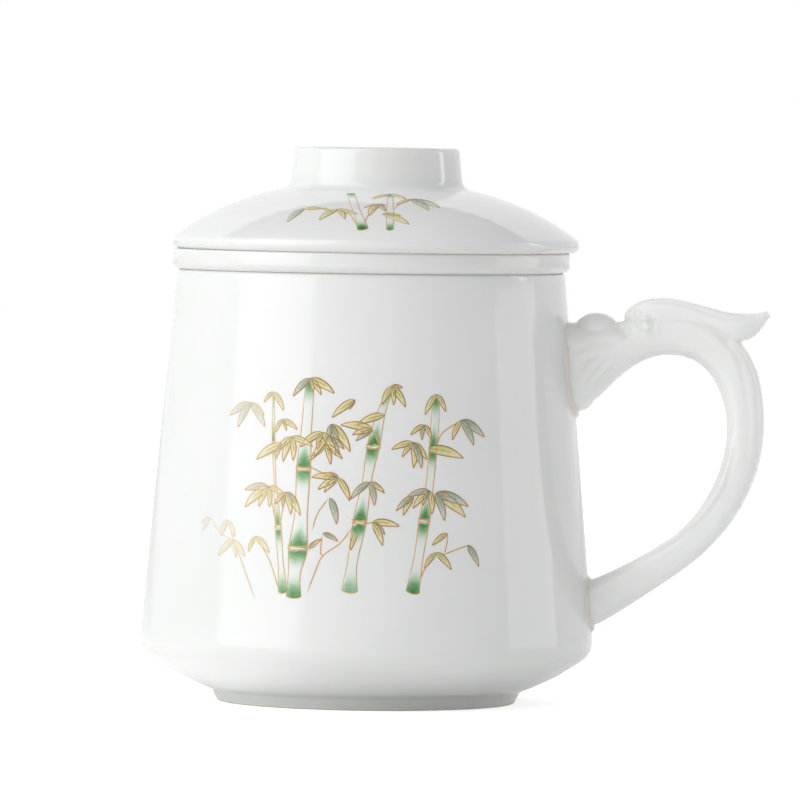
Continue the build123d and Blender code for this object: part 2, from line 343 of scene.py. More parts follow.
# Grooves and ridges of the face and neck on both sides: points (x, z), half width, height
DRAGON_LINES = (
    # the bevel under the horn's crest
    (((61.0, 89.9), (64.6, 91.1), (69.7, 90.9), (72.5, 90.2), (77.0, 88.7), (80.4, 87.8),
      (84.0, 87.6), (87.4, 88.0)), 0.50, -0.34),
    # the slope from brow to neck, filled in, and the root of the horn
    (((64.4, 85.9), (67.0, 86.4), (70.0, 86.6), (73.0, 86.1), (76.6, 84.8)), 1.4, 0.62),
    (((81.2, 83.0), (83.2, 82.0), (85.4, 81.0)), 1.2, 0.50),
    # the fold that leaves the horn and follows the neck's outer rim
    (((73.4, 87.2), (76.6, 85.7), (80.2, 82.8), (83.4, 78.4), (84.9, 72.6), (85.8, 66.0),
      (85.6, 57.0), (83.0, 48.0)), 0.9, -0.30),
    # the neck's inner ridge and the bevel inside it
    (((82.4, 63.0), (81.8, 56.8), (80.4, 50.9), (78.3, 47.0), (75.9, 43.6), (73.1, 40.8),
      (69.2, 37.6), (65.3, 35.2), (60.8, 32.7), (55.2, 29.6)), 0.42, 0.90),
    (((81.0, 62.0), (80.4, 56.4), (77.4, 49.2), (72.4, 42.4), (67.0, 38.2), (60.0, 34.0),
      (54.0, 30.8)), 0.70, -0.75),
    # the notch between nose and brow, and the nose's lower edge
    (((54.6, 86.4), (57.4, 85.0), (58.6, 82.6)), 1.6, -0.75),
    (((48.8, 82.0), (52.6, 81.4), (56.8, 82.0)), 1.1, -0.35),
    # the eye's socket, the eye in it, and its two lids
    (((59.6, 86.2), (62.2, 86.6), (64.8, 86.4)), 1.5, -0.80),
    (((61.4, 85.2), (63.7, 85.6), (66.0, 85.1)), 0.9, 0.80),
    (((60.6, 86.2), (62.4, 87.7), (64.8, 87.6), (67.2, 85.8)), 0.5, 0.44),
    (((61.4, 83.9), (63.8, 83.5), (66.4, 84.4)), 0.5, 0.26),
    # whiskers that sweep back from the mouth
    (((54.8, 79.0), (51.4, 75.4), (48.2, 70.9)), 0.7, -0.42),
    (((55.8, 77.0), (53.0, 74.2), (50.2, 71.0)), 0.6, -0.30),
    (((55.4, 78.2), (52.2, 74.8), (49.2, 71.0)), 0.5, 0.28),
    (((52.8, 79.6), (50.0, 77.2), (47.2, 74.6)), 0.7, -0.36),
    (((50.6, 81.0), (48.2, 80.2), (46.6, 78.6)), 0.6, -0.34),
)

# Curls: centre (x, z), outer radius, turns, where the outer end is in degrees, half width, height
DRAGON_CURLS = (
    ((60.7, 88.2), 1.3, 0.8, 250, 0.5, -0.25),
    ((49.0, 78.0), 1.3, 0.9, 100, 0.6, -0.28),
)


def smooth_curve(points, count=40):
    """Points on the cubic that goes through each given point, heading along its neighbours."""
    points = np.asarray(points, float)
    ends = np.concatenate([2 * points[:1] - points[1:2], points, 2 * points[-1:] - points[-2:-1]])
    place = np.linspace(0, len(points) - 1, count)
    span = np.minimum(place.astype(int), len(points) - 2)
    t = (place - span)[:, None]
    a, b, c, d = (ends[span + k] for k in range(4))
    return 0.5 * (2 * b + (c - a) * t + (2 * a - 5 * b + 4 * c - d) * t**2
                  + (3 * b - a - 3 * c + d) * t**3)


def curl_line(centre, radius, turns, start, count=40):
    """A spiral that winds in from its radius to a quarter of it."""
    share = np.linspace(0, 1, count)
    angle = np.radians(start) - share * turns * 2 * np.pi
    reach = radius * (1 - 0.75 * share)
    return np.stack([centre[0] + reach * np.cos(angle), centre[1] + reach * np.sin(angle)], -1)


def line_relief(side_view, line, half_width, height):
    """How far a groove or ridge moves each point of the side view: height exp(-(d / w)^2), for
    its distance d from the line, fading out over the first and last quarter of the line."""
    starts, runs = line[:-1], np.diff(line, axis=0)
    lengths = np.maximum((runs**2).sum(1), 1e-9)
    offsets = side_view[:, None, :] - starts
    shares = np.clip((offsets * runs).sum(2) / lengths, 0, 1)
    distances = np.linalg.norm(offsets - shares[..., None] * runs, axis=2)
    nearest = distances.argmin(1)
    rows = np.arange(len(side_view))
    place = (nearest + shares[rows, nearest]) / len(runs)
    fade = np.clip(4 * np.minimum(place, 1 - place), 0, 1)
    return height * fade * np.exp(-(distances[rows, nearest] / half_width) ** 2)


def even_copy(node, voxel):
    """A copy of a CAD node's mesh, merged and then remeshed in even quads."""
    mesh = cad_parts[node].data.copy()
    shape = bmesh.new()
    shape.from_mesh(mesh)
    bmesh.ops.remove_doubles(shape, verts=shape.verts, dist=MERGE_DISTANCE)
    shape.to_mesh(mesh)
    shape.free()
    holder = new_object("holder", mesh)
    remesh = holder.modifiers.new("even", "REMESH")
    remesh.mode = "VOXEL"
    remesh.voxel_size = voxel * MM
    graph = bpy.context.evaluated_depsgraph_get()
    even = bpy.data.meshes.new_from_object(holder.evaluated_get(graph), depsgraph=graph)
    bpy.data.objects.remove(holder)
    return even


def vectors(values, key):
    """A mesh's places or normals as an array, with one row for each of its points."""
    rows = np.empty(len(values) * 3, np.float32)
    values.foreach_get(key, rows)
    return rows.reshape(-1, 3).astype(float)


def set_points(mesh, points):
    """Moves a mesh's points to these places in millimetres."""
    mesh.vertices.foreach_set("co", (points * MM).ravel())
    mesh.update()


def relaxed(mesh, points, passes):
    """The points eased towards the mean of their neighbours, and then back out by a little
    more, in a number of passes. That softens edges and keeps the size."""
    edges = np.empty(len(mesh.edges) * 2, np.int32)
    mesh.edges.foreach_get("vertices", edges)
    one, two = edges.reshape(-1, 2).T
    counts = np.bincount(np.concatenate([one, two]), minlength=len(points))[:, None]
    for strength in (EASE_IN, EASE_OUT) * passes:
        sums = np.stack([
            np.bincount(one, points[two, k], len(points))
            + np.bincount(two, points[one, k], len(points)) for k in range(3)], -1)
        points = points + strength * (sums / counts - points)
    return points


def wall_radius(height):
    """The mug's outer radius on its cone, at a height in millimetres."""
    share = (height - SHOULDER_HEIGHT) / (MUG_HEIGHT - SHOULDER_HEIGHT)
    return SHOULDER_RADIUS + share * (MOUTH_RADIUS - SHOULDER_RADIUS)


dragon_mesh = even_copy("handle", HANDLE_VOXEL)
dragon_points = vectors(dragon_mesh.vertices, "co") / MM
dragon_points = relaxed(dragon_mesh, dragon_points, HANDLE_SMOOTHING)
set_points(dragon_mesh, dragon_points)
dragon_normals = vectors(dragon_mesh.vertex_normals, "vector")
side_view = dragon_points[:, [0, 2]]
relief = np.zeros(len(dragon_points))
for points, half_width, height in DRAGON_LINES:
    relief += line_relief(side_view, smooth_curve(points), half_width, height)
for *spiral, half_width, height in DRAGON_CURLS:
    relief += line_relief(side_view, curl_line(*spiral), half_width, height)
facing = np.interp(np.abs(dragon_normals[:, 1]), SIDE_FACING, (0, 1))
dragon_points = dragon_points + dragon_normals * (relief * facing)[:, None]
dragon_points = relaxed(dragon_mesh, dragon_points, RELIEF_SMOOTHING)
off_wall = np.hypot(*dragon_points.T[:2]) - wall_radius(dragon_points[:, 2])
dragon_points[:, 0] -= ROOT_DEPTH * np.interp(off_wall, ROOT_REACH, (1, 0))
set_points(dragon_mesh, dragon_points)
grooves = dragon_mesh.attributes.new("pool", "FLOAT", "POINT")
grooves.data.foreach_set("value", np.clip(-relief * facing, 0, 1))

# Painted light: the handle is the mug's own porcelain, but its glaze colours are drawn whiter than the
# mug's, for light that the mug's shadow keeps off it
handle_glaze_painted_lighter = glazed_porcelain(
    "clear_glaze_painted_lighter_on_moulded_porcelain", "#FBFCFB", "#F1F3EF", translucency=0.45)
handle = finished("dragon_handle", dragon_mesh, handle_glaze_painted_lighter, "mug")
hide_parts("handle")


# ---------------------------------------------------------------------------------------------
# Handle slip. Wet porcelain slip sticks both roots of the handle to the wall and squeezes out as
# a rounded edge, where the glaze pools and fires slightly warm.
# ---------------------------------------------------------------------------------------------

# How thick the slip is, how far it reaches past the root, how far its edge is sunk, how much
# glaze pools on it, and a root's corner radius as a share of its shorter side
FILLET_THICKNESS = 0.9
FILLET_REACH = 1.3
FILLET_SINK = 0.04
FILLET_POOL = 1.4
FILLET_TURNS = 96
ROOT_ROUNDNESS = 0.42

# Each root's lowest and highest place on the wall, and its width
ROOTS = {"upper_handle_slip": (65.2, 85.6, 15.2), "lower_handle_slip": (17.2, 28.6, 11.2)}


def slip_fillet(low, high, width):
    """A pad on the wall under one root of the handle, and how thick its glaze pools.

    Its rows run from its middle out to the root's outline, a rounded rectangle, and on past it.
    There its thickness is t (1 - m / e)^2 at a distance m from the root, so it feathers out.
    """
    angle = np.linspace(0, 2 * np.pi, FILLET_TURNS, endpoint=False)
    corner = ROOT_ROUNDNESS * min(width, high - low)
    share = np.array([0.0, 0.5, 0.9, *np.ones(9)])[:, None]
    margin = np.array([0.0, 0.0, *np.linspace(0, 1, 10) ** 1.5])[:, None] * FILLET_REACH
    across, above = np.cos(angle), np.sin(angle)
    flat_across = np.sign(across) * (width / 2 - corner)
    flat_above = np.sign(above) * ((high - low) / 2 - corner)
    across = share * (flat_across + corner * across) + margin * across
    height = (low + high) / 2 + share * (flat_above + corner * above) + margin * above
    fade = (1 - margin / FILLET_REACH) ** 2
    outward = np.sqrt(wall_radius(height) ** 2 - across**2) + FILLET_THICKNESS * fade - FILLET_SINK
    top = np.stack([outward, across, height], -1)
    back = top[::-1] - np.array([WALL / 2, 0, 0])
    pool = np.broadcast_to(FILLET_POOL * np.sqrt(fade), across.shape)
    return np.concatenate([top, back]), np.concatenate([pool, pool[::-1]])


# Painted light: the slip's glaze colours are drawn lighter than the mug's, to lift the shade in the
# crevices where the roots meet the wall. The warm tint of its pool is the glaze's own.
slip_glaze_painted_lighter = glazed_porcelain("pooled_glaze_on_porcelain_slip_painted_lighter", "#F0F0ED", "#E8E2D6")
for node, root in ROOTS.items():
    fillet, pool = slip_fillet(*root)
    slip = make_piece("glazed_" + node, [fillet], slip_glaze_painted_lighter, "mug", pool=[pool])
    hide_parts(node)


# ---------------------------------------------------------------------------------------------
# Infuser. A tapered strainer cup hangs in the mug by a broad collar. Its floor and lower wall are
# pierced while the clay is leather-hard, and the glaze rounds the rims of the holes.
# ---------------------------------------------------------------------------------------------

INFUSER_TURNS = 144
CELL_STEPS = 6
COLLAR_TOP = 101.8
COLLAR_RADIUS = 44.8
SEAT_BARE_RADIUS = 40.6
SEAT_WIPE_HEIGHT = 0.3
BASKET_FLOOR = (33.0, 35.4)
BASKET_OUTER_RADII = (36.4, 40.0)
BASKET_INNER_RADII = (34.0, 37.6)
ROW_PITCH = 6.5
SIDE_ROWS = 44.5 + ROW_PITCH * np.arange(3)
SIDE_HOLES = 24
SIDE_HOLE_RADIUS = 1.4
FLOOR_RINGS = 4
FLOOR_PITCH = 6.4
FLOOR_HOLE_RADIUS = 1.3
RIM_ROUNDING = 0.35

# The pierced band of the wall and the pierced part of the floor end half a pitch past the
# outermost holes
BAND_LOW = SIDE_ROWS[0] - ROW_PITCH / 2
BAND_HIGH = SIDE_ROWS[-1] + ROW_PITCH / 2
PIERCED_FLOOR_RADIUS = (FLOOR_RINGS + 0.5) * FLOOR_PITCH


def basket_outside(height):
    """The basket's outer radius at a height, which grows evenly from its floor to the collar."""
    return np.interp(height, (BASKET_FLOOR[0], MUG_HEIGHT), BASKET_OUTER_RADII)


def basket_inside(height):
    """The basket's inner radius at a height, which grows evenly from its floor to its mouth."""
    return np.interp(height, (BASKET_FLOOR[1], COLLAR_TOP), BASKET_INNER_RADII)


def pierced(outline, middle, radius, thickness):
    """Cells of a pierced sheet, as (cell, row, outline point, (across, along, depth)).

    The rows run from a cell's outline to its hole on the near face, round the rim, through the
    sheet, round the far rim and back to the outline on the far face. Each point of the hole lies
    straight between the hole's middle and a point of the outline.
    """
    spoke = outline - middle[:, None]
    distance = np.linalg.norm(spoke, axis=-1)
    heading = spoke / distance[..., None]
    turn = np.linspace(0, np.pi / 2, 4)
    rim = radius + RIM_ROUNDING * (1 - np.sin(turn))
    sink = RIM_ROUNDING * (1 - np.cos(turn))
    face = np.array([1.0, 0.55, 0.2])
    level = np.ones(len(face))
    share = np.concatenate([face, np.zeros(2 * len(turn)), face[::-1]])
    reach = np.concatenate([rim[0] * level, rim, rim[::-1], rim[0] * level])
    depth = np.concatenate([0 * level, sink, thickness - sink[::-1], thickness * level])
    row = (None, slice(None), None)
    out = reach[row] + share[row] * (distance[:, None] - reach[row])
    flat = middle[:, None, None] + out[..., None] * heading[:, None]
    deep = np.broadcast_to(depth[row], out.shape)
    return np.concatenate([flat, deep[..., None]], -1)


def box_outline(low, high, sides):
    """The outline of cells from low to high corners, with a number of steps on each side."""
    wide, tall = sides
    right = np.concatenate([np.linspace(0, 1, wide, endpoint=False), np.ones(tall),
                            np.linspace(1, 0, wide, endpoint=False), np.zeros(tall)])
    up = np.concatenate([np.zeros(wide), np.linspace(0, 1, tall, endpoint=False),
                         np.ones(wide), np.linspace(1, 0, tall, endpoint=False)])
    share = np.stack([right, up], -1)
    return low[:, None] + share * (high - low)[:, None]


def side_cells():
    """The pierced bands of the wall: each row of holes is turned half a pitch from the last.

    The cells are worked out flat, as (turn, height, share of the wall's thickness), and then
    laid round the basket.
    """
    pitch = 2 * np.pi / SIDE_HOLES
    row, hole = np.meshgrid(np.arange(len(SIDE_ROWS)), np.arange(SIDE_HOLES), indexing="ij")
    turn = (pitch * (hole + row / 2)).ravel()
    height = SIDE_ROWS[row.ravel()]
    half = np.array([pitch / 2, ROW_PITCH / 2])
    middle = np.stack([turn, height], -1)
    scale = np.array([basket_outside(SIDE_ROWS[1]), 1.0])
    steps = (INFUSER_TURNS // SIDE_HOLES, CELL_STEPS)
    outline = box_outline(middle - half, middle + half, steps)
    cells = pierced(outline * scale, middle * scale, SIDE_HOLE_RADIUS, 1.0)
    angle, height, depth = cells[..., 0] / scale[0], cells[..., 1], cells[..., 2]
    outer, inner = basket_outside(height), basket_inside(height)
    radius = outer + depth * (inner - outer)
    return round_axis(radius, angle, height)


def floor_cells():
    """The pierced rings of the floor, one grid to a ring: ring k has 6 k holes."""
    low, high = BASKET_FLOOR
    rings = []
    for ring in range(1, FLOOR_RINGS + 1):
        turn = 2 * np.pi * np.arange(6 * ring) / (6 * ring)
        half = np.pi / (6 * ring)
        inner = np.full(len(turn), (ring - 0.5) * FLOOR_PITCH)
        start, end = np.stack([turn - half, inner], -1), np.stack([turn + half, inner], -1)
        end[:, 1] += FLOOR_PITCH
        steps = (INFUSER_TURNS // (6 * ring), CELL_STEPS)
        angle, radius = np.moveaxis(box_outline(start, end, steps), -1, 0)
        outline = np.stack([radius * np.cos(angle), radius * np.sin(angle)], -1)
        middle = ring * FLOOR_PITCH * np.stack([np.cos(turn), np.sin(turn)], -1)
        rings.append((outline, middle))
    angle = 2 * np.pi * np.arange(INFUSER_TURNS) / INFUSER_TURNS
    centre = 0.5 * FLOOR_PITCH * np.stack([np.cos(angle), np.sin(angle)], -1)
    rings.append((centre[None], np.zeros((1, 2))))
    cells = [pierced(*ring, FLOOR_HOLE_RADIUS, high - low) for ring in rings]
    return [cell + np.array([0, 0, low]) for cell in cells]


# The parts of the half section that aren't pierced: below the holes outside and inside, and
# from above them round the collar
LOWER_SECTION = (
    (PIERCED_FLOOR_RADIUS, BASKET_FLOOR[0], 0),
    (BASKET_OUTER_RADII[0], BASKET_FLOOR[0], 7.0),
    (basket_outside(BAND_LOW), BAND_LOW, 0),
)
LOWER_INSIDE = (
    (basket_inside(BAND_LOW), BAND_LOW, 0),
    (BASKET_INNER_RADII[0], BASKET_FLOOR[1], 4.6),
    (PIERCED_FLOOR_RADIUS, BASKET_FLOOR[1], 0),
)
UPPER_SECTION = (
    (basket_outside(BAND_HIGH), BAND_HIGH, 0),
    (BASKET_OUTER_RADII[1], MUG_HEIGHT, 0.5),
    (COLLAR_RADIUS, MUG_HEIGHT, 1.8),
    (COLLAR_RADIUS, COLLAR_TOP, 0.7),
    (BASKET_INNER_RADII[1], COLLAR_TOP, 0.7),
    (basket_inside(BAND_HIGH), BAND_HIGH, 0),
)
infuser_grids = [spun(rounded_line(section), INFUSER_TURNS)
                 for section in (LOWER_SECTION, LOWER_INSIDE, UPPER_SECTION)]
infuser_grids += [side_cells(), *floor_cells()]


def collar_seat(grid):
    """How far inside the wiped ring under the collar a point lies, in millimetres."""
    radius = np.hypot(grid[..., 0], grid[..., 1])
    return np.minimum(MUG_HEIGHT + SEAT_WIPE_HEIGHT - grid[..., 2], radius - SEAT_BARE_RADIUS)


infuser_glaze = glazed_porcelain("clear_glaze_on_pierced_porcelain", GLAZE_WHITE, GLAZE_POOLED)
infuser = make_piece("pierced_infuser", infuser_grids, infuser_glaze, "infuser",
                     bare=[collar_seat(grid) for grid in infuser_grids])
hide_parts("infuser")


# ---------------------------------------------------------------------------------------------
# Lid. A low dome with a rounded edge and a skirt that drops inside the infuser. It is jiggered
# in one piece, and the flat land on which it rests is wiped bare.
# ---------------------------------------------------------------------------------------------

LID_OFFSET = np.array([1.0, 0.0, 0.0])
LID_RADIUS = 45.8
LID_THICKNESS = 3.2
DOME_CENTRE = (9.7, 57.7)
DOME_RADIUS = 59.0
DOME_FLAT_RADIUS = 15.0
SEAT_INNER_RADIUS = 41.5
SEAT_ROOT_HEIGHT = 105.4
SKIRT_RADII = (33.0, 35.8)
SKIRT_BOTTOM = 95.6
SKIRT_ROUNDING = 1.2
LID_BARE_RADIUS = 40.9
LID_WIPE_HEIGHT = 0.35


def dome_height(radius, depth=0.0):
    """The dome's height at a radius: its half section is an arc whose centre lies off the axis."""
    across = radius - DOME_CENTRE[0]
    return DOME_CENTRE[1] + np.sqrt((DOME_RADIUS - depth) ** 2 - across**2)


def dome_corners(start, end, count, depth=0.0):
    """Corners along the dome between two radii, each rounded just enough to keep the arc."""
    radii = np.linspace(start, end, count)
    return [(radius, dome_height(radius, depth), 20.0) for radius in radii]


LID_SECTION = (
    (0.0, dome_height(DOME_FLAT_RADIUS), 0.0),
    *dome_corners(DOME_FLAT_RADIUS, 43.0, 12),
    (LID_RADIUS, dome_height(LID_RADIUS), 1.7),
    (LID_RADIUS, COLLAR_TOP, 1.6),
    (SEAT_INNER_RADIUS, COLLAR_TOP, 0.4),
    (SKIRT_RADII[1], SEAT_ROOT_HEIGHT, SKIRT_ROUNDING),
    (SKIRT_RADII[1], SKIRT_BOTTOM, SKIRT_ROUNDING),
    (SKIRT_RADII[0], SKIRT_BOTTOM, SKIRT_ROUNDING),
    (SKIRT_RADII[0], dome_height(SKIRT_RADII[0], LID_THICKNESS), SKIRT_ROUNDING),
    *dome_corners(31.0, DOME_FLAT_RADIUS, 8, LID_THICKNESS),
    (0.0, dome_height(DOME_FLAT_RADIUS, LID_THICKNESS), 0.0),
)
lid_line = rounded_line(LID_SECTION)
lid_grid = spun(lid_line, MUG_TURNS) + LID_OFFSET
lid_radii, lid_heights = lid_line.T
lid_seat = np.minimum(COLLAR_TOP + LID_WIPE_HEIGHT - lid_heights, lid_radii - LID_BARE_RADIUS)
lid_glaze = glazed_porcelain("clear_glaze_on_jiggered_porcelain", GLAZE_WHITE, GLAZE_POOLED)
lid = make_piece("domed_lid", [lid_grid], lid_glaze, "lid",
                 bare=[np.broadcast_to(lid_seat[:, None], lid_grid.shape[:2])])
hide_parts("lid")


# ---------------------------------------------------------------------------------------------
# Knob. An open ring of porcelain stands on the dome, and is the lid's foot when the lid is
# turned over, so its top is wiped bare. A bead of slip, wiped hollow, joins it to the dome.
# ---------------------------------------------------------------------------------------------

KNOB_HEIGHT = 125.0
KNOB_TOP_RADIUS = 18.5
KNOB_BASE_RADIUS = 19.5
KNOB_BORE_RADIUS = 15.4
KNOB_GAP = 0.02
KNOB_WIPE_DEPTH = 0.02
KNOB_TURNS = 192

# The bead: how far it reaches out on the dome and up the knob, the power that hollows it, how
# far its edges are sunk, and how far inside and below the knob's outer edge its back lies
SLIP_REACH = 2.5
SLIP_HEIGHT = 2.8
SLIP_HOLLOW = 1.4
SLIP_SINK = 0.03
SLIP_BACK = (0.5, 0.3)

knob_base = dome_height(KNOB_BASE_RADIUS)
KNOB_SECTION = (
    (KNOB_BORE_RADIUS, dome_height(KNOB_BORE_RADIUS) + KNOB_GAP, 0.0),
    (KNOB_BORE_RADIUS, KNOB_HEIGHT, 0.7),
    (KNOB_TOP_RADIUS, KNOB_HEIGHT, 1.2),
    (KNOB_BASE_RADIUS, knob_base + KNOB_GAP, 0.0),
    (KNOB_BORE_RADIUS, dome_height(KNOB_BORE_RADIUS) + KNOB_GAP, 0.0),
)
knob_line = rounded_line(KNOB_SECTION, step=1.0)
knob_grid = spun(knob_line, KNOB_TURNS) + LID_OFFSET
knob_bare = knob_grid[..., 2] - KNOB_HEIGHT + KNOB_WIPE_DEPTH
knob = make_piece("open_knob_ring", [knob_grid], lid_glaze, "lid", bare=[knob_bare])
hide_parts("knob_ring")


def hollow_bead(count=14):
    """The bead's half section: a quarter turn of (1 - sin a)^h by (1 - cos a)^h between the
    knob and the dome, closed behind. Its two edges run out just under both surfaces."""
    turn = np.linspace(0, np.pi / 2, count)
    lean = (KNOB_BASE_RADIUS - KNOB_TOP_RADIUS) / (KNOB_HEIGHT - knob_base)
    climb = SLIP_HEIGHT * (1 - np.sin(turn)) ** SLIP_HOLLOW
    reach = SLIP_REACH * (1 - np.cos(turn)) ** SLIP_HOLLOW
    radius = KNOB_BASE_RADIUS - lean * climb + reach
    front = np.stack([radius - SLIP_SINK, dome_height(radius) + climb - SLIP_SINK], -1)
    behind = np.array([[KNOB_BASE_RADIUS - SLIP_BACK[0], knob_base - SLIP_BACK[1]]])
    return np.concatenate([front, behind, front[:1]])


bead_grid = spun(hollow_bead(), KNOB_TURNS) + LID_OFFSET
bead = make_piece("knob_slip_bead", [bead_grid], lid_glaze, "lid")
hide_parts("knob_slip")


# ---------------------------------------------------------------------------------------------
# Bamboo painting. Overglaze enamel, brushed on the fired glaze and fired again: green washes on
# the stems, olive and celadon washes in the leaves, and thin ochre and umber lines round both.
# ---------------------------------------------------------------------------------------------

# A wash's tones, how wide a brush's uneven patches are, in metres, and how strong the thinnest
# patch is
OLIVE, CELADON, GREEN = 0.0, 0.5, 1.0
BRUSH_PATCH = 0.9 * MM
BRUSH_THINNEST = 0.72

# Layers of enamel: how far washes, sprays, leaves and lines lie over what is under them, how
# much a line rises to its middle, and how thick a layer is
WASH_LIFT = 0.030
SPRAY_LIFT = 0.012
LEAF_LIFT = 0.010
LINE_LIFT = 0.005
LINE_CROWN = 0.020
ENAMEL_THICKNESS = 0.06

# Lines: half widths of outlines and twigs, of a stem's edges and of a leaf's rib, the places of
# a line's points across it, how dark a stroke is and how strong a rib is
LINE_HALF_WIDTH = 0.14
EDGE_HALF_WIDTH = 0.11
RIB_HALF_WIDTH = 0.08
BRUSH_SIDES = np.array([1.0, 0.5, 0.0, -0.5, -1.0])
STROKE_UMBER = 0.22
RIB_INK = 0.8

# Leaves: points from root to tip, and how many of them the rib has, the half width as a share
# of the length, the droop in degrees, how strong the wash is, and how much greener at the root
LEAF_POINTS = 17
RIB_POINTS = 11
LEAF_SLENDERNESS = 0.120
LEAF_DROOP = 26.0
LEAF_WASH = 0.82
ROOT_SHADE = 0.22

# Stems: how far a joint's two strokes lie above and below it, how far they reach as a share of
# the stem's half width, how much they rise at its edges, how much a foot is bowed, and the
# radius on the lid at which the feet stand
JOINT_GAP = 0.34
JOINT_REACH = 1.25
JOINT_BOW = 0.22
FOOT_BOW = 0.45
PAINTING_FEET_RADIUS = 42.0

# Painted light: the paint is drawn paler towards the left, as if washed out where the lamp at the
# left lights the mug most. It would end here, and has its full strength this far to the right of
# there, but it is never fainter than the palest
PAINTED_LIGHT_PALE_END = -36.0
PAINTED_LIGHT_PALE_RISE = 27.0
PALEST = 0.14

# Green shades of a stem, as (strength, length over which it fades): up from its foot, down from
# its top, up from a joint to a point, and down from a joint. The point narrows over this length.
FOOT_SHADE = (1.0, 2.4)
TOP_SHADE = (0.9, 2.5)
POINT_SHADE = (1.1, 2.9)
CUP_SHADE = (0.95, 2.1)
POINT_NARROWING = 2.4

# Places are millimetres across and up as the brush sees them: on the mug from under -Y, and on
# the lid up the slope of the dome from the feet of the stems. A stem has (across, up, half
# width) from its foot to its top, the heights of its joints, and how green its foot is.
MUG_STEMS = (
    (((-12.0, 26.0, 1.75), (-11.9, 31.0, 1.40), (-11.2, 36.4, 2.15), (-10.6, 44.5, 1.45),
      (-10.3, 54.2, 1.60), (-9.8, 63.0, 1.15), (-9.2, 73.2, 1.05)), (36.4, 54.2), 1.0),
    (((-14.5, 27.0, 1.10), (-15.2, 33.5, 0.60), (-16.0, 41.0, 0.70), (-16.9, 50.0, 0.22),
      (-17.6, 59.6, 0.34), (-17.9, 70.6, 0.15)), (41.0, 59.6), 0.8),
    (((0.6, 27.5, 1.80), (1.1, 33.5, 1.05), (2.5, 42.3, 1.45), (4.0, 52.0, 0.95),
      (5.2, 59.2, 1.35), (6.8, 66.6, 0.85), (8.7, 71.8, 0.60)), (42.3, 59.2), 0.4),
    (((14.6, 27.4, 1.55), (15.8, 35.0, 1.00), (16.9, 42.8, 1.20), (17.9, 50.0, 0.85),
      (18.6, 58.6, 0.90), (19.2, 70.2, 0.90)), (42.8, 58.6), 1.0),
)

